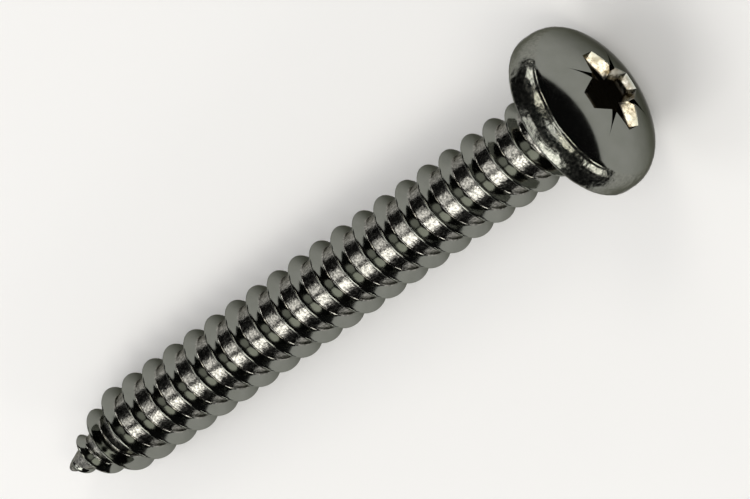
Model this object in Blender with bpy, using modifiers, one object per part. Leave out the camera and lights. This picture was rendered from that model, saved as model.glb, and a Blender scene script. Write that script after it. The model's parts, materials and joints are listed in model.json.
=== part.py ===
"""Sheet metal screw: pan head, cross recess, coarse tapping thread and a cone point.

Metres, +Z up. One forged and rolled piece. It lies as it comes to rest on the plane z = 0,
with its axis along X and its head at +X: the rim of the head and the last full turn of the
thread touch the plane. The origin is under the middle of the box around it.

Each shape is first made along the screw's own axis, its local Z: the bearing face under the
head is at local z = 0, the head above it and the shank below. Local +X becomes the side
that the screw lies on.
"""

import math

import bmesh
import bpy
from mathutils import Matrix, Vector

MM = 0.001

# Shank and thread
SHANK_LENGTH = 38.2 * MM  # bearing face to the end of the point
MAJOR_DIAMETER = 4.66 * MM
ROOT_DIAMETER = 3.56 * MM
PITCH = 1.6 * MM
CREST_WIDTH = 0.09 * MM
FLANK_HALF_ANGLE = math.radians(30)
FIRST_CREST = 1.46 * MM  # bearing face to the first crest, on the side it lies on
POINT_LENGTH = 5.75 * MM  # the root narrows along this
POINT_ROUNDING = 0.75  # 1 would make the root a straight cone
THREAD_START = 0.43 * MM  # the thread rises from the root this far from the end
FULL_THREAD = 4.7 * MM  # the thread has its full height this far from the end
THREAD_ROUNDING = 0.64  # 1 would make the crests' outline a straight cone
POINT_RADIUS = 0.15 * MM  # the blunt end of the point

# Head
HEAD_DIAMETER = 9.2 * MM
HEAD_HEIGHT = 3.0 * MM
SIDE_TOP = 0.62 * MM  # top of the straight side wall, above the bearing face
RIM_RADIUS = 0.21 * MM  # lower edge of the side wall
SHOULDER_RADIUS = 1.37 * MM
FILLET_WIDTH = 0.27 * MM  # the fillet under the head reaches this far outside the thread
FILLET_HEIGHT = 0.5 * MM  # it ends inside the shank, this far below the bearing face

# Cross recess
RECESS_DEPTH = 2.3 * MM  # from the top of the dome to the recess floor
RECESS_TURN = math.radians(-5.5)
WING_REACH = 2.2 * MM  # axis to the outer end of a wing, at the dome
WING_WIDTH = 0.95 * MM  # across the outer end of a wing
WING_FLARE = math.radians(17)  # each side of a wing opens towards the middle by this
WING_END_TAPER = math.radians(26.5)
WING_SIDE_TAPER = math.radians(4)
FLOOR_POINT = 0.3 * MM  # the floor dips to a point in the middle by this

# Tick grooves on the diagonals between the wings
TICK_INNER = 1.1 * MM  # axis to the wide end, inside the recess corner
TICK_OUTER = 2.8 * MM
TICK_WIDTH = 0.36 * MM
TICK_DEPTH = 0.22 * MM

# Allowances for the joining and cutting bodies
SHANK_IN_HEAD = 0.6 * MM  # the shank runs this far into the head before they are joined
FILLET_INSIDE = 0.18 * MM  # the foot of the fillet is this far inside the thread's root
CUT_ABOVE = 0.5 * MM  # a cutter stands this far clear of what it cuts

# How finely the round forms are divided
THREAD_STEPS = 32
HEAD_STEPS = 48
DOME_STEPS = 7
SHOULDER_STEPS = 6
RIM_STEPS = 3

MERGE = 0.001 * MM
SHARP_ANGLE = math.radians(32)

WINGS = 4


def clear_scene():
    for obj in list(bpy.data.objects):
        bpy.data.objects.remove(obj, do_unlink=True)


def new_collection(name):
    collection = bpy.data.collections.new(name)
    bpy.context.scene.collection.children.link(collection)
    return collection


def add_object(name, mesh, collection):
    obj = bpy.data.objects.new(name, mesh)
    collection.objects.link(obj)
    return obj


def as_helper(obj):
    """A joining or cutting body is drawn as wires and stays out of the render."""
    obj.hide_render = True
    obj.display_type = "WIRE"
    return obj


def line_mesh(name, points):
    """An open outline of (radius, height) pairs in the XZ plane, ready to be turned."""
    form = bmesh.new()
    corners = [form.verts.new((radius, 0, height)) for radius, height in points]
    for upper, lower in zip(corners, corners[1:]):
        form.edges.new((upper, lower))
    mesh = bpy.data.meshes.new(name)
    form.to_mesh(mesh)
    form.free()
    return mesh


def add_screw_modifier(obj, steps, rise=0.0, turns=1):
    turned = obj.modifiers.new("turned", "SCREW")
    turned.steps = steps
    turned.render_steps = steps
    turned.screw_offset = rise
    turned.iterations = turns
    turned.use_merge_vertices = rise == 0
    turned.merge_threshold = MERGE
    turned.use_smooth_shade = True


def evaluated_mesh(obj):
    graph = bpy.context.evaluated_depsgraph_get()
    return bpy.data.meshes.new_from_object(obj.evaluated_get(graph))


def arc(centre, radius, start, end, steps):
    """Points of a round stretch, with angles measured from the outward direction."""
    angles = [start + (end - start) * step / steps for step in range(steps + 1)]
    return [(centre[0] + radius * math.cos(a), centre[1] + radius * math.sin(a)) for a in angles]


# Thread

def thread_profile(crest_height):
    """One pitch of the thread, top to bottom: root, upper flank, crest, lower flank."""
    root = ROOT_DIAMETER / 2
    crest = MAJOR_DIAMETER / 2
    half_crest = CREST_WIDTH / 2
    half_foot = half_crest + (crest - root) * math.tan(FLANK_HALF_ANGLE)
    offsets = [
        (root, PITCH - half_foot),
        (root, half_foot),
        (crest, half_crest),
        (crest, -half_crest),
        (root, -half_foot),
    ]
    return [(radius, crest_height + height) for radius, height in offsets]


def pointed(place):
    """Where a point of the parallel thread goes once the end is pinched to a cone."""
    root = ROOT_DIAMETER / 2
    crest = MAJOR_DIAMETER / 2
    to_end = place.z + SHANK_LENGTH
    root_share = min(1, max(0, to_end / POINT_LENGTH))
    root_here = max(root * root_share**POINT_ROUNDING, POINT_RADIUS)
    crest_share = min(1, max(0, (to_end - THREAD_START) / (FULL_THREAD - THREAD_START)))
    crest_here = max(crest * crest_share**THREAD_ROUNDING, root_here)
    radius = math.hypot(place.x, place.y)
    up_the_flank = (radius - root) / (crest - root)
    scale = (root_here + (crest_here - root_here) * up_the_flank) / radius
    return Vector((place.x * scale, place.y * scale, place.z))


def cut_flat(form, height, keep_below):
    """Cuts the body level at this height and closes it there with a flat end."""
    geometry = form.verts[:] + form.edges[:] + form.faces[:]
    cut = bmesh.ops.bisect_plane(
        form,
        geom=geometry,
        plane_co=(0, 0, height),
        plane_no=(0, 0, 1),
        clear_outer=keep_below,
        clear_inner=not keep_below,
    )
    rim = [item for item in cut["geom_cut"] if isinstance(item, bmesh.types.BMEdge)]
    bmesh.ops.contextual_create(form, geom=rim)


def threaded_shank(collection):
    """The thread is one pitch swept up a helix, then pinched to the point and cut level."""
    turns_down = math.ceil(SHANK_LENGTH / PITCH) + 1
    turns_up = math.ceil(SHANK_IN_HEAD / PITCH) + 2
    half_step = math.pi / THREAD_STEPS
    lowest_crest = -FIRST_CREST - turns_down * PITCH + PITCH * half_step / math.tau
    sweep = add_object("thread_sweep", line_mesh("thread_sweep", thread_profile(lowest_crest)), collection)
    add_screw_modifier(sweep, THREAD_STEPS, PITCH, turns_down + turns_up)
    mesh = evaluated_mesh(sweep)
    bpy.data.objects.remove(sweep, do_unlink=True)

    form = bmesh.new()
    form.from_mesh(mesh)
    bmesh.ops.remove_doubles(form, verts=form.verts, dist=MERGE)
    bmesh.ops.rotate(form, verts=form.verts, matrix=Matrix.Rotation(half_step, 3, "Z"))
    for corner in form.verts:
        corner.co = pointed(corner.co)
    cut_flat(form, -SHANK_LENGTH, keep_below=False)
    cut_flat(form, SHANK_IN_HEAD, keep_below=True)
    bmesh.ops.recalc_face_normals(form, faces=form.faces)
    form.to_mesh(mesh)
    form.free()
    return add_object("screw", mesh, collection)


# Head

def dome_radius():
    """The radius of the dome that reaches the head's height and runs into the shoulder."""
    inset = HEAD_DIAMETER / 2 - SHOULDER_RADIUS
    rise = HEAD_HEIGHT - SIDE_TOP
    return (inset**2 + rise**2 - SHOULDER_RADIUS**2) / (2 * (rise - SHOULDER_RADIUS))


def dome_height(radius):
    """Height of the dome's surface above the bearing face, this far from the axis."""
    dome = dome_radius()
    return HEAD_HEIGHT - dome + math.sqrt(dome**2 - radius**2)


def head_profile():
    """Dome, shoulder, side wall, rim edge, bearing face and fillet, from the top to the axis."""
    outer = HEAD_DIAMETER / 2
    dome = dome_radius()
    shoulder_centre = (outer - SHOULDER_RADIUS, SIDE_TOP)
    meeting = math.atan2(SIDE_TOP - (HEAD_HEIGHT - dome), shoulder_centre[0])
    top = arc((0, HEAD_HEIGHT - dome), dome, math.pi / 2, meeting, DOME_STEPS)
    top[0] = (0, HEAD_HEIGHT)
    shoulder = arc(shoulder_centre, SHOULDER_RADIUS, meeting, 0, SHOULDER_STEPS)
    rim = arc((outer - RIM_RADIUS, RIM_RADIUS), RIM_RADIUS, 0, -math.pi / 2, RIM_STEPS)
    fillet = [
        (MAJOR_DIAMETER / 2 + FILLET_WIDTH, 0),
        (ROOT_DIAMETER / 2 - FILLET_INSIDE, -FILLET_HEIGHT),
        (0, -FILLET_HEIGHT),
    ]
    return top + shoulder[1:] + rim + fillet


def turned_head(collection):
    """The head, with a corner of its many-sided rim straight down on the side it lies on."""
    head = add_object("head_form", line_mesh("head_form", head_profile()), collection)
    add_screw_modifier(head, HEAD_STEPS)
    return as_helper(head)


# Recess

def recess_corners(height):
    """The twelve corners of the four-winged outline at this height, as (x, y) pairs."""
    below = dome_height(WING_REACH) - height
    reach = WING_REACH - below * math.tan(WING_END_TAPER)
    half_width = WING_WIDTH / 2 - below * math.tan(WING_SIDE_TAPER)
    flare = math.tan(WING_FLARE)
    inner = (half_width + reach * flare) / (1 + flare)
    corners = []
    for wing in range(WINGS):
        turn = Matrix.Rotation(RECESS_TURN + wing * math.tau / WINGS, 2)
        for corner in ((reach, -half_width), (reach, half_width), (inner, inner)):
            corners.append(turn @ Vector(corner))
    return corners


def wing_cutter(collection):
    """The wings and their tapered core: an outline drawn down to the recess floor."""
    top = HEAD_HEIGHT + CUT_ABOVE
    floor = HEAD_HEIGHT - RECESS_DEPTH
    form = bmesh.new()
    outline = form.faces.new([form.verts.new((x, y, top)) for x, y in recess_corners(top)])
    drawn = bmesh.ops.extrude_face_region(form, geom=[outline], use_keep_orig=True)
    lower_face = next(item for item in drawn["geom"] if isinstance(item, bmesh.types.BMFace))
    for corner, (x, y) in zip(lower_face.verts, recess_corners(floor)):
        corner.co = (x, y, floor)
    middle = bmesh.ops.poke(form, faces=[lower_face])["verts"][0]
    middle.co.z -= FLOOR_POINT
    bmesh.ops.recalc_face_normals(form, faces=form.faces)
    mesh = bpy.data.meshes.new("wing_cutter")
    form.to_mesh(mesh)
    form.free()
    return as_helper(add_object("wing_cutter", mesh, collection))


def tick_cutter(name, angle, collection):
    """A four-sided spike laid along the dome: its lower edge makes the V of the groove."""
    inner = Vector((TICK_INNER, 0, dome_height(TICK_INNER)))
    outer = Vector((TICK_OUTER, 0, dome_height(TICK_OUTER)))
    form = bmesh.new()
    bmesh.ops.create_cone(
        form,
        cap_ends=True,
        segments=4,
        radius1=1,
        radius2=0,
        depth=1,
    )
    along = outer - inner
    slope = math.atan2(-along.z, along.x)
    half_size = Matrix.Diagonal((TICK_DEPTH, TICK_WIDTH / 2, along.length, 1))
    lay_down = Matrix.Rotation(math.pi / 2 + slope, 4, "Y")
    centre = Matrix.Translation((inner + outer) / 2)
    turn = Matrix.Rotation(angle, 4, "Z")
    bmesh.ops.transform(form, verts=form.verts, matrix=turn @ centre @ lay_down @ half_size)
    mesh = bpy.data.meshes.new(name)
    form.to_mesh(mesh)
    form.free()
    return as_helper(add_object(name, mesh, collection))


def add_tick_cutters(collection):
    quarter = math.tau / WINGS
    for tick in range(WINGS):
        tick_cutter(f"tick_cutter_{tick}", RECESS_TURN + (tick + 0.5) * quarter, collection)


# Joining, finish and rest pose

def add_boolean(obj, name, operation):
    step = obj.modifiers.new(name, "BOOLEAN")
    step.operation = operation
    step.solver = "EXACT"
    return step


def join_and_cut(shank, head, cutters):
    """Head and shank become one body, then the recess and its ticks are struck into it."""
    add_boolean(shank, "head", "UNION").object = head
    recess = add_boolean(shank, "recess", "DIFFERENCE")
    recess.operand_type = "COLLECTION"
    recess.collection = cutters
    body = evaluated_mesh(shank)
    shank.modifiers.clear()
    shank.data = body
    body.shade_smooth()
    body.set_sharp_from_angle(angle=SHARP_ANGLE)


def steel():
    """Bright steel, a little warm, as the screw shows it."""
    material = bpy.data.materials.new("bright_steel")
    material.use_nodes = True
    shader = material.node_tree.nodes["Principled BSDF"]
    shader.inputs["Base Color"].default_value = (0.36, 0.36, 0.34, 1)
    shader.inputs["Metallic"].default_value = 1
    shader.inputs["Roughness"].default_value = 0.22
    return material


def lay_at_rest(screw):
    """Tips the screw until its rim and its thread touch one plane, then sets it on z = 0."""
    points = [corner.co for corner in screw.data.vertices]
    rim = max(points, key=lambda place: (round(place.x / MERGE), -place.z))
    shank = [place for place in points if place.z < 0]
    tilt = min(math.atan2(rim.x - place.x, rim.z - place.z) for place in shank)
    screw.rotation_euler.y = math.pi / 2 - tilt
    turned = [screw.rotation_euler.to_matrix() @ place for place in points]
    low = [min(place[axis] for place in turned) for axis in range(3)]
    high = [max(place[axis] for place in turned) for axis in range(3)]
    screw.location = (-(low[0] + high[0]) / 2, -(low[1] + high[1]) / 2, -low[2])


def main():
    clear_scene()
    parts = new_collection("sheet_metal_screw")
    forms = new_collection("joining_forms")
    cutters = new_collection("cutters")
    shank = threaded_shank(parts)
    head = turned_head(forms)
    wing_cutter(cutters)
    add_tick_cutters(cutters)
    join_and_cut(shank, head, cutters)
    shank.data.materials.clear()
    shank.data.materials.append(steel())
    lay_at_rest(shank)


main()
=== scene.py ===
# %% [markdown]
# # A sheet metal screw in bright steel
# The real screw is one piece of steel wire. A punch strikes its pan head and the cross
# recess, and two flat dies roll its thread and pinch the point. Nothing moves on it.
# This lesson makes the fine surface of that one piece around the solid that was packed, in
# the same place and at the same size, and then lights and photographs it.

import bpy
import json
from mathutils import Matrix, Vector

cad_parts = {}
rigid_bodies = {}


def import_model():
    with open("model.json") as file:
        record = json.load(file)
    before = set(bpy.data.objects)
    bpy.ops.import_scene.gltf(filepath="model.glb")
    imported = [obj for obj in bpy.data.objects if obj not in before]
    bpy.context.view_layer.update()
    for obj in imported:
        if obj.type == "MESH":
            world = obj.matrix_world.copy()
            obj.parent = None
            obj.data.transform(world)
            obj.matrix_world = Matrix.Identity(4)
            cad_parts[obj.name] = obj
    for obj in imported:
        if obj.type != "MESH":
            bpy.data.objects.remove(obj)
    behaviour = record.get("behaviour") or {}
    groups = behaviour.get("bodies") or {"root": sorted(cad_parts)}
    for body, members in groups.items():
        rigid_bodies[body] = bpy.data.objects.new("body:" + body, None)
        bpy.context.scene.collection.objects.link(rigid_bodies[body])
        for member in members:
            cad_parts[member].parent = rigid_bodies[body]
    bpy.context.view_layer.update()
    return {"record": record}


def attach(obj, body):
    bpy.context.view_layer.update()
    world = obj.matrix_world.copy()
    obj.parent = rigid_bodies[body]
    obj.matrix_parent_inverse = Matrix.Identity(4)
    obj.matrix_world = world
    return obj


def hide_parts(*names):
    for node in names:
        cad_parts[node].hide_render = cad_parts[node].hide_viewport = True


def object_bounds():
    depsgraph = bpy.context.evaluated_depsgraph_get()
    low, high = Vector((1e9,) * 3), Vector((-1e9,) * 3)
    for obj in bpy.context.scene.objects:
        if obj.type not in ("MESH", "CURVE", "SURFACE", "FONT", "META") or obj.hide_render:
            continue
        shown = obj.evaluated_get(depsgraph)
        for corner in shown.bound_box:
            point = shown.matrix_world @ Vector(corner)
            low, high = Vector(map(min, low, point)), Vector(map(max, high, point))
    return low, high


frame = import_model()


def in_mm(corner):
    return [round(1000 * c, 2) for c in corner]


# %% [markdown]
# ## Where the screw lies
# A screw can't stand. It lies on the rim of its head and on the last full turn of its
# thread, so its axis is tipped up a little towards the head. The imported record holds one
# mount, a point on the flat ring under the head with the direction that the ring faces. The
# place of the whole screw can be worked out from that mount, which is safer than copying
# a matrix: if the solid is ever laid differently, the fine surface follows it.

# %% Place of the screw, from the mount under its head
import json
import math

import bmesh
import bpy
from mathutils import Matrix, Vector, noise

MM = 0.001
MOUNT_ASIDE = 3.2 * MM  # the mount's point lies this far along Y from the screw's axis
MOUNT_ABOVE = 0.12 * MM  # and this far towards the side that faces up

mount = frame["record"]["mounts"][0]
up_the_screw = -Vector(mount["axis"])
to_the_side = Vector((0, 1, 0))
down = to_the_side.cross(up_the_screw)
bearing_centre = Vector(mount["pos_m"]) - MOUNT_ASIDE * to_the_side + MOUNT_ABOVE * down
placement = Matrix((down, to_the_side, up_the_screw)).transposed().to_4x4()
placement.translation = bearing_centre
print("tipped up by", round(math.degrees(math.asin(up_the_screw.z)), 2), "degrees")

# %% [markdown]
# ## Outlines with rounded corners
# Dies and punches leave no corner quite sharp, and it is the small roundings that catch
# the light. Thread and head are both turned or swept from an outline, so one helper rounds
# the corners of an outline with true arcs, and another puts points along its straight
# stretches, because dents can only be pressed where the mesh has points.

# %% Helpers for outlines
def rounded(corners, steps):
    """Points of an outline given as (radius, height, rounding) corners."""
    points = []
    for place, (radius, height, rounding) in enumerate(corners):
        here = Vector((radius, height))
        if rounding == 0:
            points.append(here)
            continue
        back = (Vector(corners[place - 1][:2]) - here).normalized()
        ahead = (Vector(corners[place + 1][:2]) - here).normalized()
        half_angle = back.angle(ahead) / 2
        centre = here + (back + ahead).normalized() * rounding / math.sin(half_angle)
        first = here + back * rounding / math.tan(half_angle) - centre
        last = here + ahead * rounding / math.tan(half_angle) - centre
        turned = [first.slerp(last, step / steps).normalized() for step in range(steps + 1)]
        points += [centre + direction * first.length for direction in turned]
    return points


def divided(points, longest):
    """The same outline with no stretch longer than this."""
    close = [points[0]]
    for start, end in zip(points, points[1:]):
        pieces = math.ceil((end - start).length / longest)
        close += [start.lerp(end, piece / pieces) for piece in range(1, pieces + 1)]
    return close


def outline_form(points):
    """A new bmesh that holds the outline as a chain of edges in the XZ plane."""
    form = bmesh.new()
    corners = [form.verts.new((radius, 0, height)) for radius, height in points]
    for upper, lower in zip(corners, corners[1:]):
        form.edges.new((upper, lower))
    return form


# %% [markdown]
# ## Thread
# A rolled thread has one and the same section all the way: a flat root, two straight
# flanks and a narrow crest. It could be cut out of a cylinder with a helical cutter, but a
# Boolean on so long a cutter is slow and ragged. Sweeping one pitch of the section up a
# helix with `bmesh.ops.spin` and its `dvec` gives clean rows of faces instead, and each
# turn ends exactly where the next one begins, so one turn is swept and then copied. The
# thread is right-handed: seen from the side, its near part rises to the right.

# %% Sweep the thread
PITCH = 1.6 * MM
ROOT_RADIUS = 1.78 * MM
CREST_RADIUS = 2.33 * MM
CREST_FLAT = 0.09 * MM
FLANK_LEAN = math.radians(30)
FIRST_CREST = 1.46 * MM  # bearing face to the first crest, on the side it lies on
SHANK_LENGTH = 38.2 * MM
SHANK_IN_HEAD = 0.6 * MM
CREST_ROUNDING = 0.05 * MM
ROOT_ROUNDING = 0.12 * MM
THREAD_TURN_STEPS = 72
THREAD_CORNER_STEPS = 3
THREAD_SPACING = 0.13 * MM  # between the points of the section, at most
WELD = 0.0002 * MM


def thread_outline():
    half_crest = CREST_FLAT / 2
    half_foot = half_crest + (CREST_RADIUS - ROOT_RADIUS) * math.tan(FLANK_LEAN)
    corners = [
        (ROOT_RADIUS, PITCH / 2, 0),
        (ROOT_RADIUS, half_foot, ROOT_ROUNDING),
        (CREST_RADIUS, half_crest, CREST_ROUNDING),
        (CREST_RADIUS, -half_crest, CREST_ROUNDING),
        (ROOT_RADIUS, -half_foot, ROOT_ROUNDING),
        (ROOT_RADIUS, -PITCH / 2, 0),
    ]
    return divided(rounded(corners, THREAD_CORNER_STEPS), THREAD_SPACING)


def swept_turn():
    lowest = -FIRST_CREST - math.ceil(SHANK_LENGTH / PITCH) * PITCH
    form = outline_form([(radius, height + lowest) for radius, height in thread_outline()])
    bmesh.ops.spin(
        form,
        geom=form.verts[:] + form.edges[:],
        cent=(0, 0, 0),
        axis=(0, 0, 1),
        dvec=(0, 0, PITCH / THREAD_TURN_STEPS),
        angle=math.tau,
        steps=THREAD_TURN_STEPS,
    )
    return form


def stacked_turns(form):
    one_turn = form.verts[:] + form.edges[:] + form.faces[:]
    for turn in range(1, math.ceil((SHANK_LENGTH + SHANK_IN_HEAD) / PITCH) + 2):
        copied = bmesh.ops.duplicate(form, geom=one_turn)["geom"]
        corners = [item for item in copied if isinstance(item, bmesh.types.BMVert)]
        bmesh.ops.translate(form, verts=corners, vec=(0, 0, turn * PITCH))
    bmesh.ops.remove_doubles(form, verts=form.verts, dist=WELD)
    return form


shank = stacked_turns(swept_turn())
print("section:", len(thread_outline()), "points; thread:", len(shank.faces), "faces")

# %% [markdown]
# ## Point
# A sheet metal screw has to bite into a small hole, so its end is pinched to a cone, on
# which the thread runs out. Root and crest don't narrow alike: the root follows a slim
# curve, and the crest starts later and fills out faster. Both are powers of the distance
# to the end, so the straight thread can simply be squeezed: each point keeps its share of
# the way up the flank between root and crest. At the very end the pinching dies leave a
# tiny round blob.

# %% Pinch the point
POINT_LENGTH = 5.75 * MM
POINT_ROUNDING = 0.75
THREAD_START = 0.43 * MM
FULL_THREAD = 4.7 * MM
THREAD_ROUNDING = 0.64
POINT_RADIUS = 0.15 * MM
BLOB_RADIUS = 0.2 * MM
BLOB_PLACE = 0.42 * MM  # middle of the blob, from the end of the point
BLOB_FLAT = 0.0075 * MM  # height of the slice that is cut off the blob
LEAST_RADIUS = 0.03 * MM  # of what lies past the blob, until the cut takes it away


def root_and_crest(to_end):
    """Radius of the root and of the crest, this far from the end of the point."""
    root_share = min(1, max(0, to_end / POINT_LENGTH))
    blob = math.sqrt(max(0, BLOB_RADIUS**2 - (to_end - BLOB_PLACE) ** 2))
    if to_end > BLOB_PLACE:
        root = max(ROOT_RADIUS * root_share**POINT_ROUNDING, POINT_RADIUS, blob)
    else:
        root = max(LEAST_RADIUS, blob)
    crest_share = min(1, max(0, (to_end - THREAD_START) / (FULL_THREAD - THREAD_START)))
    return root, max(CREST_RADIUS * crest_share**THREAD_ROUNDING, root)


def cut_level(form, height, keep_below):
    cut = bmesh.ops.bisect_plane(
        form,
        geom=form.verts[:] + form.edges[:] + form.faces[:],
        plane_co=(0, 0, height),
        plane_no=(0, 0, 1),
        clear_outer=keep_below,
        clear_inner=not keep_below,
    )
    rim = [item for item in cut["geom_cut"] if isinstance(item, bmesh.types.BMEdge)]
    bmesh.ops.contextual_create(form, geom=rim)


for corner in shank.verts:
    radius = math.hypot(corner.co.x, corner.co.y)
    root, crest = root_and_crest(corner.co.z + SHANK_LENGTH)
    up_the_flank = (radius - ROOT_RADIUS) / (CREST_RADIUS - ROOT_RADIUS)
    squeeze = (root + (crest - root) * up_the_flank) / radius
    corner.co.x *= squeeze
    corner.co.y *= squeeze
cut_level(shank, -SHANK_LENGTH + BLOB_PLACE - BLOB_RADIUS + BLOB_FLAT, keep_below=False)
cut_level(shank, SHANK_IN_HEAD, keep_below=True)
bmesh.ops.recalc_face_normals(shank, faces=shank.faces)
print("shank closed:", all(edge.is_manifold for edge in shank.edges))

# %% [markdown]
# ## Head
# The pan head is a turned shape: a shallow dome, a rounded shoulder, a short straight
# side wall, a flat ring underneath that bears on the work and a small fillet towards the
# shank. It is one outline, spun once round. The dome's own radius isn't stated anywhere:
# it is the one that reaches the head's height and still runs smoothly into the shoulder.

# %% Turn the head
HEAD_RADIUS = 4.6 * MM
HEAD_HEIGHT = 3.0 * MM
SIDE_TOP = 0.62 * MM
RIM_RADIUS = 0.21 * MM
SHOULDER_RADIUS = 1.37 * MM
FILLET_WIDTH = 0.27 * MM  # the fillet reaches this far outside the thread
FILLET_HEIGHT = 0.5 * MM
FILLET_INSIDE = 0.18 * MM  # its foot is this far inside the root
HEAD_TURN_STEPS = 360
DOME_STEPS = 24
SHOULDER_STEPS = 20
RIM_STEPS = 5
WALL_SPACING = 0.08 * MM  # close enough for the dents
UNDERSIDE_SPACING = 0.25 * MM

shoulder_out = HEAD_RADIUS - SHOULDER_RADIUS
dome_rise = HEAD_HEIGHT - SIDE_TOP
dome_radius = shoulder_out**2 + dome_rise**2 - SHOULDER_RADIUS**2
dome_radius /= 2 * (dome_rise - SHOULDER_RADIUS)
shoulder_slope = math.atan2(SIDE_TOP - HEAD_HEIGHT + dome_radius, shoulder_out)


def dome_height(radius):
    return HEAD_HEIGHT - dome_radius + math.sqrt(dome_radius**2 - radius**2)


def arc(centre, radius, start, end, steps):
    angles = [start + (end - start) * step / steps for step in range(steps + 1)]
    across, height = centre
    return [Vector((across + radius * math.cos(a), height + radius * math.sin(a))) for a in angles]


def head_outline():
    dome_centre = (0, HEAD_HEIGHT - dome_radius)
    dome = arc(dome_centre, dome_radius, math.pi / 2, shoulder_slope, DOME_STEPS)
    dome[0].x = 0
    shoulder_centre = (shoulder_out, SIDE_TOP)
    shoulder = arc(shoulder_centre, SHOULDER_RADIUS, shoulder_slope, 0, SHOULDER_STEPS)
    rim_centre = (HEAD_RADIUS - RIM_RADIUS, RIM_RADIUS)
    rim = arc(rim_centre, RIM_RADIUS, 0, -math.pi / 2, RIM_STEPS)
    wall = divided([shoulder[-1], rim[0]], WALL_SPACING)
    seat_edge = Vector((CREST_RADIUS + FILLET_WIDTH, 0))
    fillet_foot = Vector((ROOT_RADIUS - FILLET_INSIDE, -FILLET_HEIGHT))
    middle = Vector((0, -FILLET_HEIGHT))
    under = divided([rim[-1], seat_edge, fillet_foot, middle], UNDERSIDE_SPACING)
    return dome + shoulder[1:] + wall[1:] + rim[1:] + under[1:]


def turned_head():
    form = outline_form(head_outline())
    bmesh.ops.spin(
        form,
        geom=form.verts[:] + form.edges[:],
        cent=(0, 0, 0),
        axis=(0, 0, 1),
        angle=math.tau,
        steps=HEAD_TURN_STEPS,
        use_merge=True,
    )
    bmesh.ops.remove_doubles(form, verts=form.verts, dist=WELD)
    bmesh.ops.recalc_face_normals(form, faces=form.faces)
    return form


head = turned_head()
print("dome radius", round(dome_radius / MM, 2), "mm; head:", len(head.faces), "faces")

# %% [markdown]
# ## Cross recess
# A four-winged punch strikes the recess. Its outline is one face, which is extruded down
# twice and narrowed each time: a lot down to the end of the lead-in, which guides the
# driver, and a little down to the floor. The punch is subtracted later with the exact
# Boolean, which leaves the crisp edges that a struck recess has.

# %% Make the punch
RECESS_DEPTH = 2.3 * MM
RECESS_TURN = math.radians(-5.5)
WING_REACH = 2.2 * MM
WING_HALF_WIDTH = 0.475 * MM
WING_FLARE = math.tan(math.radians(17))
WING_END_TAPER = math.tan(math.radians(26.5))
WING_SIDE_TAPER = math.tan(math.radians(4))
LEAD_IN_DEPTH = 0.4 * MM
LEAD_IN_TAPER = math.tan(math.radians(29))
FLOOR_POINT = 0.3 * MM
PUNCH_ABOVE = 0.5 * MM
WINGS = 4


def punch_corners(height):
    """The twelve corners of the punch at this height above the bearing face."""
    below = dome_height(WING_REACH) - height
    reach = WING_REACH - below * WING_END_TAPER
    led_in = min(below, LEAD_IN_DEPTH)
    narrower = led_in * LEAD_IN_TAPER + (below - led_in) * WING_SIDE_TAPER
    half_width = WING_HALF_WIDTH - narrower
    inner = (half_width + reach * WING_FLARE) / (1 + WING_FLARE)
    wing = [Vector((reach, -half_width)), Vector((reach, half_width)), Vector((inner, inner))]
    turns = [Matrix.Rotation(RECESS_TURN + turn * math.tau / WINGS, 2) for turn in range(WINGS)]
    return [(*(turn @ corner), height) for turn in turns for corner in wing]


def punch():
    form = bmesh.new()
    outline = [form.verts.new(place) for place in punch_corners(HEAD_HEIGHT + PUNCH_ABOVE)]
    lower_face = form.faces.new(outline)
    for height in (dome_height(WING_REACH) - LEAD_IN_DEPTH, HEAD_HEIGHT - RECESS_DEPTH):
        is_top = len(form.faces) == 1  # the top face stays, to close the punch
        drawn = bmesh.ops.extrude_face_region(form, geom=[lower_face], use_keep_orig=is_top)
        faces = [item for item in drawn["geom"] if isinstance(item, bmesh.types.BMFace)]
        lower_face = faces[0]
        for corner, place in zip(lower_face.verts, punch_corners(height)):
            corner.co = place
    middle = bmesh.ops.poke(form, faces=[lower_face])["verts"][0]
    middle.co.z -= FLOOR_POINT
    bmesh.ops.recalc_face_normals(form, faces=form.faces)
    return form


recess_punch = punch()
print("punch:", len(recess_punch.faces), "faces, to", round(RECESS_DEPTH / MM, 2), "mm deep")

# %% [markdown]
# ## Ticks
# A thin rib on each inner edge of the punch presses a tick into the dome. The ticks mark
# this kind of cross, and each runs out to a point. A groove that gets narrower and
# shallower together is half of a spike. So cones with four sides are laid along the dome, a
# quarter turn apart, and only the half that is under the surface takes steel away.

# %% Make the four ticks
TICK_INNER = 1.1 * MM
TICK_OUTER = 2.95 * MM
TICK_WIDTH = 0.48 * MM
TICK_DEPTH = 0.26 * MM


def ticks():
    inner = Vector((TICK_INNER, 0, dome_height(TICK_INNER)))
    outer = Vector((TICK_OUTER, 0, dome_height(TICK_OUTER)))
    along = outer - inner
    half_size = Matrix.Diagonal((TICK_DEPTH, TICK_WIDTH / 2, along.length, 1))
    lay_down = Matrix.Rotation(math.pi / 2 + math.atan2(-along.z, along.x), 4, "Y")
    on_the_dome = Matrix.Translation((inner + outer) / 2) @ lay_down @ half_size
    form = bmesh.new()
    for tick in range(WINGS):
        turn = Matrix.Rotation(RECESS_TURN + (tick + 0.5) * math.tau / WINGS, 4, "Z")
        bmesh.ops.create_cone(
            form,
            cap_ends=True,
            segments=4,
            radius1=1,
            radius2=0,
            depth=1,
            matrix=turn @ on_the_dome,
        )
    return form


tick_spikes = ticks()
print("ticks reach out to", round(TICK_OUTER / MM, 2), "mm from the axis")

# %% [markdown]
# ## One body
# Head and shank are joined and then struck, in that order, as in the real screw's making
# the steel is one piece before the punch comes down. The Boolean modifiers are applied by
# reading the evaluated mesh, so no modifier and no helper stays in the scene.

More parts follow.
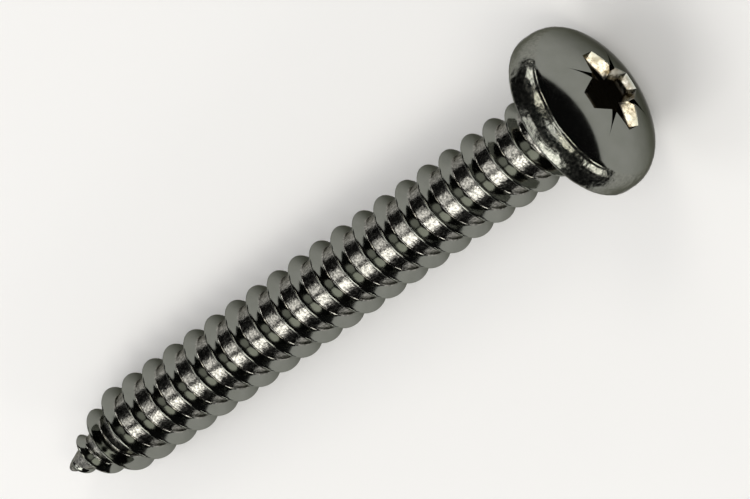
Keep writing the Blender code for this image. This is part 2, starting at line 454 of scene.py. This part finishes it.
# %% Join and strike
def helper_object(name, form):
    mesh = bpy.data.meshes.new(name)
    form.to_mesh(mesh)
    form.free()
    helper = bpy.data.objects.new(name, mesh)
    bpy.context.scene.collection.objects.link(helper)
    return helper


def joined_and_struck(body, additions, punches):
    steps = [(helper, "UNION") for helper in additions]
    steps += [(helper, "DIFFERENCE") for helper in punches]
    for helper, operation in steps:
        step = body.modifiers.new(helper.name, "BOOLEAN")
        step.operation = operation
        step.solver = "EXACT"
        step.object = helper
    graph = bpy.context.evaluated_depsgraph_get()
    mesh = bpy.data.meshes.new_from_object(body.evaluated_get(graph))
    for helper in [body] + additions + punches:
        bpy.data.objects.remove(helper, do_unlink=True)
    return mesh


steel_mesh = joined_and_struck(
    helper_object("shank_form", shank),
    [helper_object("head_form", head)],
    [helper_object("punch_form", recess_punch), helper_object("tick_forms", tick_spikes)],
)
print("one body:", len(steel_mesh.polygons), "faces")

# %% [markdown]
# ## Zones of the surface
# The dome was pressed against a polished punch and the flanks against polished dies, so
# they mirror like glass. The side of the head flowed freely while it was struck, and the
# root was rolled last, where the steel is stretched most, so both are rough. Which zone a
# point is in follows from its radius and height on the screw, and it's written into the
# mesh as one colour per point, which the finish reads later: red for the forged side,
# green for the thread's root, blue for the recess, half blue at its rim and full blue at
# its floor. The rise from half to full blue with depth is painted shade: it darkens the
# recess towards its floor.

# %% Sort the surface into zones
FORGED_EDGE = 1.61 * MM  # the forged side reaches up to here, give or take
FORGED_WANDER = 0.07 * MM
FORGED_RAGGED = 0.02 * MM
EDGE_WANDERS = 3  # in a radian around the head
EDGE_RAGS = 30
FORGED_INSIDE = 3.4 * MM  # nearer to the axis there are only the recess and the underside
FORGED_FADE = 0.2 * MM
ROOT_FULL = 0.03  # shares of the way up the flank
ROOT_NONE = 0.12
LEAST_FLANK = 0.05 * MM
ZONE_BLUR = 0.02 * MM
# Between these depths the recess is darkened more and more, which is painted shade.
SHADE_FROM_DEPTH = 0.1 * MM  # depths in the recess
SHADE_FULL_DEPTH = 1.2 * MM
COUNTED_FROM = 0.4  # in the printed numbers


def fade(value, none, full):
    """0 at none, 1 at full and smooth between them."""
    share = min(1, max(0, (value - none) / (full - none)))
    return share * share * (3 - 2 * share)


def forged_edge(place):
    """Height of the upper edge of the forged side, in this direction around the head."""
    around = Vector((place.x, place.y, 0)).normalized()
    wander = FORGED_WANDER * noise.noise(around * EDGE_WANDERS)
    return FORGED_EDGE + wander + FORGED_RAGGED * noise.noise(around * EDGE_RAGS)


def zones(place):
    """How far a point of the screw is forged side, root and recess, each from 0 to 1; the recess
    value also rises with depth, for painted shade.
    """
    radius = math.hypot(place.x, place.y)
    if place.z < 0:
        root, crest = root_and_crest(place.z + SHANK_LENGTH)
        up_the_flank = (radius - root) / max(crest - root, LEAST_FLANK)
        return 0, fade(up_the_flank, ROOT_NONE, ROOT_FULL), 0
    under_dome = dome_height(radius) - place.z if radius < TICK_OUTER else 0
    struck = fade(under_dome, ZONE_BLUR / 5, ZONE_BLUR)
    # Painted shade: this grows with depth under the dome.
    painted_shade = fade(under_dome, SHADE_FROM_DEPTH, SHADE_FULL_DEPTH)
    edge = forged_edge(place)
    outside = fade(radius, FORGED_INSIDE, FORGED_INSIDE + FORGED_FADE)
    forged = outside * fade(place.z, edge + ZONE_BLUR, edge - ZONE_BLUR)
    return forged, 0, 0.5 * struck + 0.5 * painted_shade


zone_of_point = [zones(corner.co) for corner in steel_mesh.vertices]
for zone, name in enumerate(("forged side", "thread root", "recess")):
    counted = sum(values[zone] > COUNTED_FROM for values in zone_of_point)
    print(name, "covers", counted, "points")

# %% [markdown]
# ## Dents of the forging
# Scale and lubricant trapped between steel and die leave shallow dents, about a hundredth
# of a millimetre deep. They are pressed into the mesh, because they are what breaks a
# lamp's mirror image into sparkles: each dent tips the surface by some degrees. Sums of
# smooth noise at two sizes give dents without any pattern, and the zones keep them off
# the polished parts. Where the dome's die ended, the dome also stops in a small ledge,
# which is deepest on the side that faces up and dies out round the sides.

# %% Press in the dents
FORGED_DENT_DEPTH = 0.013 * MM
FORGED_DENT_SIZE = 0.26 * MM
ROOT_DENT_DEPTH = 0.007 * MM
ROOT_DENT_SIZE = 0.28 * MM
LEDGE_DEPTH = 0.07 * MM
LEDGE_WIDTH = 0.14 * MM
LEDGE_GONE = 0.5  # how far a direction faces up, from 0 at the sides to 1
LEDGE_FULL = 0.8
LEDGE_FOOT = 0.15 * MM  # heights between which it grows out of the wall
LEDGE_GROWN = 1.1 * MM
FINE_DENTS = 2.3  # this many times finer than the coarse ones
FINE_SHARE = 0.5  # and this much as deep
FINE_SHIFT = Vector((5, 3, 1))  # so that the two don't line up


def dents(place, size):
    fine = noise.noise(place / size * FINE_DENTS + FINE_SHIFT)
    return noise.noise(place / size) + FINE_SHARE * fine


def ledge(place):
    """Depth of the ledge at the edge of the dome; up is local -X."""
    facing_up = fade(-place.x / math.hypot(place.x, place.y), LEDGE_GONE, LEDGE_FULL)
    below_edge = fade(forged_edge(place) - place.z, 0, LEDGE_WIDTH)
    return LEDGE_DEPTH * facing_up * below_edge * fade(place.z, LEDGE_FOOT, LEDGE_GROWN)


depths = []
for corner, (forged, root, struck) in zip(steel_mesh.vertices, zone_of_point):
    place = corner.co.copy()
    raised = FORGED_DENT_DEPTH * forged * dents(place, FORGED_DENT_SIZE)
    raised += ROOT_DENT_DEPTH * root * dents(place, ROOT_DENT_SIZE)
    depths.append(raised - (ledge(place) if forged > 0 else 0))
normals = [corner.normal.copy() for corner in steel_mesh.vertices]
for corner, normal, depth in zip(steel_mesh.vertices, normals, depths):
    corner.co += normal * depth
print("dents from", round(min(depths) / MM, 3), "to", round(max(depths) / MM, 3), "mm")

# %% [markdown]
# ## The screw in the scene
# The zones are stored as a colour attribute on the points, because an attribute moves with
# the mesh and is read back in the material by its name. The mesh is turned and moved into
# its place, and the object itself stays at the origin. Smooth shading with sharp edges
# beyond 32 degrees keeps the polished curves smooth and the struck edges crisp.

# %% Lay the screw in its place
colours = steel_mesh.color_attributes.new("zones", "FLOAT_COLOR", "POINT")
for point, (forged, root, struck) in enumerate(zone_of_point):
    colours.data[point].color = (forged, root, struck, 1)
screw = bpy.data.objects.new("steel_screw", steel_mesh)
bpy.context.scene.collection.objects.link(screw)
steel_mesh.transform(placement)
steel_mesh.shade_smooth()
steel_mesh.set_sharp_from_angle(angle=math.radians(32))
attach(screw, "root")
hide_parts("screw")
low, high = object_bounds()
print("fine screw from", in_mm(low), "to", in_mm(high), "mm")

# %% [markdown]
# ## Bright steel
# Bare steel is a metal, so all its colour is in what it mirrors. The polished zones mirror
# about a fifth of the light, as an oily, slightly darkened skin does. The forged side, the
# root and the recess are rougher, and the rim of the recess is fresh and brightest. Deeper in
# the recess its colour is darkened to near black, which is painted shade. These
# three carry a grain of about a tenth of a millimetre, whose edges are too fine for the mesh
# and are made with bump. The tint at grazing angles is held down, because the photograph
# shows no bright rim.

# %% Helpers for the finish
def add(tree, kind, **settings):
    node = tree.nodes.new("ShaderNode" + kind)
    for name, value in settings.items():
        setattr(node, name, value)
    return node


def noise_at(tree, size, detail, roughness=0.5):
    """Noise with features of this size in metres."""
    texture = add(tree, "TexNoise")
    texture.inputs["Scale"].default_value = 1 / size
    texture.inputs["Detail"].default_value = detail
    texture.inputs["Roughness"].default_value = roughness
    coordinates = tree.nodes.get("Texture Coordinate") or add(tree, "TexCoord")
    tree.links.new(coordinates.outputs["Object"], texture.inputs["Vector"])
    return texture.outputs["Fac"]


def calculate(tree, operation, first, second):
    node = add(tree, "Math", operation=operation)
    for socket, value in zip(node.inputs, (first, second)):
        if isinstance(value, bpy.types.NodeSocket):
            tree.links.new(value, socket)
        else:
            socket.default_value = value
    return node.outputs["Value"]


def blend(tree, mask, first, second):
    """Mix of two colours by a mask."""
    node = add(tree, "Mix", data_type="RGBA")
    tree.links.new(mask, node.inputs["Factor"])
    for socket, value in zip((node.inputs["A"], node.inputs["B"]), (first, second)):
        if isinstance(value, bpy.types.NodeSocket):
            tree.links.new(value, socket)
        else:
            socket.default_value = (*value, 1)
    return node.outputs["Result"]


def scaled(tree, value, from_low, from_high, to_low, to_high):
    """The value stretched from one range to another, and kept inside it."""
    node = add(tree, "MapRange")
    numbers = (from_low, from_high, to_low, to_high)
    for socket, number in zip(list(node.inputs)[1:5], numbers):
        socket.default_value = number
    tree.links.new(value, node.inputs["Value"])
    return node.outputs["Result"]


print("helpers: add, noise_at, calculate, blend, scaled")

# %% [markdown]
# ## One material for all zones
# The finish reads the zones and blends from one to the next, because the real surface has
# no seams either. Each finish runs from a dark colour to a pale one, as a noise of its own
# size says. Sizes of the patterns are in millimetres of the real screw, and Object
# coordinates keep them there from every side.

# %% Finish of the steel
SMOKE_SIZE = 0.9 * MM
SPECK_SIZE = 0.13 * MM
STREAK_SIZE = 0.45 * MM
PATCH_SIZE = 0.16 * MM
POLISH_SIZE = 0.6 * MM
GRAIN_SIZE = 0.11 * MM
GRAIN_HEIGHT = 0.007 * MM
SKIN = (0.203, 0.211, 0.188), (0.226, 0.233, 0.212)
ROLLED = (0.115, 0.115, 0.106), (0.37, 0.363, 0.335)
FLOWED = (0.18, 0.187, 0.165), (0.25, 0.253, 0.228)
BARE = (0.17, 0.135, 0.08), (0.56, 0.53, 0.46)
# Near black of the recess floor, which is painted shade.
PAINTED_SHADE_FLOOR = (0.014, 0.013, 0.012)
GRAZING_TINT = (0.3, 0.3, 0.28, 1)


def bright_steel():
    material = bpy.data.materials.new("bright_steel")
    material.use_nodes = True
    tree = material.node_tree
    shader = tree.nodes["Principled BSDF"]
    zone_colour = add(tree, "Attribute", attribute_name="zones")
    split = add(tree, "SeparateColor")
    tree.links.new(zone_colour.outputs["Color"], split.inputs["Color"])
    forged, root, recess = split.outputs
    struck = scaled(tree, recess, 0, 0.5, 0, 1)
    # Painted shade: how far the recess is darkened with depth.
    painted_shade = scaled(tree, recess, 0.56, 0.7, 0, 1)
    rough = calculate(tree, "MAXIMUM", calculate(tree, "MAXIMUM", forged, root), struck)

    smoky = scaled(tree, noise_at(tree, SMOKE_SIZE, 3), 0.3, 0.7, 0, 1)
    skin = blend(tree, smoky, *SKIN)
    specks = scaled(tree, noise_at(tree, SPECK_SIZE, 3, 0.6), 0.35, 0.65, 0, 1)
    rolled = blend(tree, specks, *ROLLED)
    flowed = blend(tree, specks, *FLOWED)
    worn = blend(tree, root, blend(tree, forged, skin, flowed), rolled)
    streaks = scaled(tree, noise_at(tree, STREAK_SIZE, 2), 0.38, 0.6, 0, 1)
    bare = blend(tree, streaks, *BARE)
    # The recess colour turns to near black with depth, which is painted shade.
    recess_and_painted_shade = blend(tree, painted_shade, bare, PAINTED_SHADE_FLOOR)
    tree.links.new(blend(tree, struck, worn, recess_and_painted_shade), shader.inputs["Base Color"])

    patchy = scaled(tree, noise_at(tree, PATCH_SIZE, 2), 0.35, 0.65, 0.12, 0.26)
    polished = scaled(tree, noise_at(tree, POLISH_SIZE, 2), 0.3, 0.7, 0.085, 0.12)
    roughness = add(tree, "Mix", data_type="FLOAT")
    tree.links.new(rough, roughness.inputs["Factor"])
    tree.links.new(polished, roughness.inputs["A"])
    tree.links.new(patchy, roughness.inputs["B"])
    tree.links.new(roughness.outputs["Result"], shader.inputs["Roughness"])

    grain = calculate(tree, "MULTIPLY", noise_at(tree, GRAIN_SIZE, 2), rough)
    bump = add(tree, "Bump")
    bump.inputs["Distance"].default_value = GRAIN_HEIGHT
    tree.links.new(grain, bump.inputs["Height"])
    tree.links.new(bump.outputs["Normal"], shader.inputs["Normal"])

    shader.inputs["Metallic"].default_value = 1
    shader.inputs["Specular Tint"].default_value = GRAZING_TINT
    return material


screw.data.materials.clear()
screw.data.materials.append(bright_steel())
print("finish:", len(screw.data.materials[0].node_tree.nodes), "nodes")

# %% [markdown]
# ## Camera
# The photo looks down on the screw from in front of its head, about 60 degrees above the
# sheet, with a long lens from a little over a third of a metre. The axis of the screw and
# the side of it that faces up are each seen at a known angle, and those angles turn the
# camera.

# %% Set up the camera
VIEW_ANGLE = math.radians(56.611)  # between the screw's axis and the line of sight
PICTURE_SLOPE = math.radians(35.093)  # of the screw's axis, as it climbs to the right
HEAD_IN_VIEW = Vector((9.905, -6.646, 369.06)) * MM  # right, down and away from the camera
LENS = 354.8

seen_axis = Vector((
    math.sin(VIEW_ANGLE) * math.cos(PICTURE_SLOPE),
    -math.sin(VIEW_ANGLE) * math.sin(PICTURE_SLOPE),
    -math.cos(VIEW_ANGLE),
))
seen_side = Vector((math.sin(PICTURE_SLOPE), math.cos(PICTURE_SLOPE), 0))
seen_top = seen_side.cross(seen_axis)
in_world = Matrix((up_the_screw, -down, -to_the_side)).transposed()
looking = in_world @ Matrix((seen_axis, seen_top, seen_side))
camera_data = bpy.data.cameras.new("camera")
camera_data.lens = LENS
camera_data.clip_start = 0.01
camera = bpy.data.objects.new("camera", camera_data)
camera.matrix_world = Matrix.Translation(bearing_centre - looking @ HEAD_IN_VIEW) @ (
    looking @ Matrix.Diagonal((1, -1, -1))
).to_4x4()
bpy.context.scene.collection.objects.link(camera)
bpy.context.scene.camera = camera
print("camera at", [round(c, 3) for c in camera.matrix_world.translation], "m")

# %% [markdown]
# ## White sheet
# The photo shows no floor line, only white, and the dome mirrors a pale, level sheet. A
# round matt disc does for that. Its paper is white by its colour alone and has no gloss, and
# the only shadow on it is the screw's own. As stage it isn't part of the object.

# %% Lay the sheet
SHEET_RADIUS = 95 * MM
PAPER = 0.9


def white_sheet():
    form = bmesh.new()
    bmesh.ops.create_circle(form, cap_ends=True, segments=128, radius=SHEET_RADIUS)
    mesh = bpy.data.meshes.new("white_sheet")
    form.to_mesh(mesh)
    form.free()
    sheet = bpy.data.objects.new("white_sheet", mesh)
    material = bpy.data.materials.new("white_paper")
    material.use_nodes = True
    shader = material.node_tree.nodes["Principled BSDF"]
    shader.inputs["Base Color"].default_value = (PAPER, PAPER, PAPER, 1)
    shader.inputs["Roughness"].default_value = 1
    shader.inputs["Specular IOR Level"].default_value = 0
    mesh.materials.append(material)
    bpy.context.scene.collection.objects.link(sheet)


white_sheet()
print("sheet", round(2 * SHEET_RADIUS / MM), "mm across")

# %% [markdown]
# ## Lamps
# A mirror shows only its surroundings, so lamps round a shiny screw are drawn by their
# images in it. Area lamps give soft-edged images, and where each has to hang follows from
# the camera and the slope of the surface that mirrors it: two large boxes behind the head
# for the root and the lower part of the forged side, and one high in front, two low at the
# sides and two warm spots between them for its upper edge, where the spots also meet the
# walls of the recess. A weak one hangs beyond the point. Their strength is given as
# radiance, so that all of them and the room light the white sheet just to its own colour.

# %% Hang the lamps
LAMP_DISTANCE = 450 * MM


def softbox(name, azimuth, elevation, width, height, radiance, colour):
    """Hang a soft lamp that faces the screw, and return its light on the sheet.

    Azimuth 0 is +X and 90 is +Y.
    """
    data = bpy.data.lights.new(name, "AREA")
    data.shape = "RECTANGLE"
    data.size = width
    data.size_y = height
    data.energy = radiance * math.pi * width * height
    data.color = colour
    lamp = bpy.data.objects.new(name, data)
    azimuth, elevation = math.radians(azimuth), math.radians(elevation)
    towards = Vector((
        math.cos(elevation) * math.cos(azimuth),
        math.cos(elevation) * math.sin(azimuth),
        math.sin(elevation),
    ))
    lamp.location = towards * LAMP_DISTANCE
    lamp.rotation_euler = towards.to_track_quat("Z", "Y").to_euler()
    lamp.visible_camera = False
    bpy.context.scene.collection.objects.link(lamp)
    return radiance * width * height / LAMP_DISTANCE**2 * math.sin(elevation) / math.pi


lamp_light = sum((
    softbox("main_softbox", -146, 52, 240 * MM, 210 * MM, 4.2, (1, 0.98, 0.93)),
    softbox("second_softbox", 150, 52, 200 * MM, 190 * MM, 2, (1, 0.98, 0.94)),
    softbox("top_softbox", 0, 70, 180 * MM, 140 * MM, 2.6, (1, 0.985, 0.95)),
    softbox("right_strip", -66, 19, 150 * MM, 130 * MM, 4.2, (1, 0.97, 0.9)),
    softbox("left_strip", 68, 16, 130 * MM, 110 * MM, 3.6, (1, 0.98, 0.93)),
    softbox("right_spot", -34, 53, 125 * MM, 125 * MM, 3.6, (1, 0.95, 0.83)),
    softbox("left_spot", 52, 42, 125 * MM, 125 * MM, 3.6, (1, 0.95, 0.83)),
    softbox("point_fill", 180, 27, 200 * MM, 120 * MM, 1.8, (1, 0.98, 0.94)),
))
print("light of the lamps on the sheet:", round(lamp_light, 2))

# %% [markdown]
# ## Room
# The rest of the light comes from the room. It fills the shadows evenly, and the camera
# sees it in the tone of the sheet. The steel mirrors a room with two ends: a dark one in
# front of the head, which makes the black crescent on the dome's shoulder as in the photo,
# and a pale one beyond the point, which keeps the flanks and the underside of the head from
# turning black. This is a choice for the photo's sake: with a white room on all sides, the
# crescent would be as grey as the dome.

# %% Fill the room
ROOM_FILL = (0.4, 0.4, 0.408)
DARK_END = (0.009, 0.009, 0.009)
PALE_END = (0.5, 0.5, 0.5)
PALE_FROM = -0.72  # X of a direction into the room
PALE_FULL = -0.9
PAPER_WHITE = (0.92, 0.91, 0.885)  # as the sheet renders, so that its edge doesn't show


def studio_room():
    world = bpy.data.worlds.new("studio_room")
    world.use_nodes = True
    tree = world.node_tree
    rays = add(tree, "LightPath")
    direction = add(tree, "SeparateXYZ")
    tree.links.new(add(tree, "TexCoord").outputs["Generated"], direction.inputs["Vector"])
    behind = scaled(tree, direction.outputs["X"], PALE_FROM, PALE_FULL, 0, 1)
    in_steel = blend(tree, behind, DARK_END, PALE_END)
    not_by_camera = blend(tree, rays.outputs["Is Glossy Ray"], ROOM_FILL, in_steel)
    seen = blend(tree, rays.outputs["Is Camera Ray"], not_by_camera, PAPER_WHITE)
    tree.links.new(seen, tree.nodes["Background"].inputs["Color"])
    bpy.context.scene.world = world


studio_room()
print("white paper renders at about", round(PAPER * (lamp_light + ROOM_FILL[0]), 2))

# %% [markdown]
# ## Colours as they are
# The Standard view writes each colour to the picture as it was rendered. A filmic view would
# grey the white sheet and flatten the contrast of the steel.

# %% Colour management
bpy.context.scene.view_settings.view_transform = "Standard"
print("view:", bpy.context.scene.view_settings.view_transform)

# %% [markdown]
# ## Sizes
# The box of the fine screw differs little from the box of the solid: the blob ends the point
# a fifth of a millimetre before the solid's sharp end, and the dents are far shallower than that.

# %% Finish
print("finished")
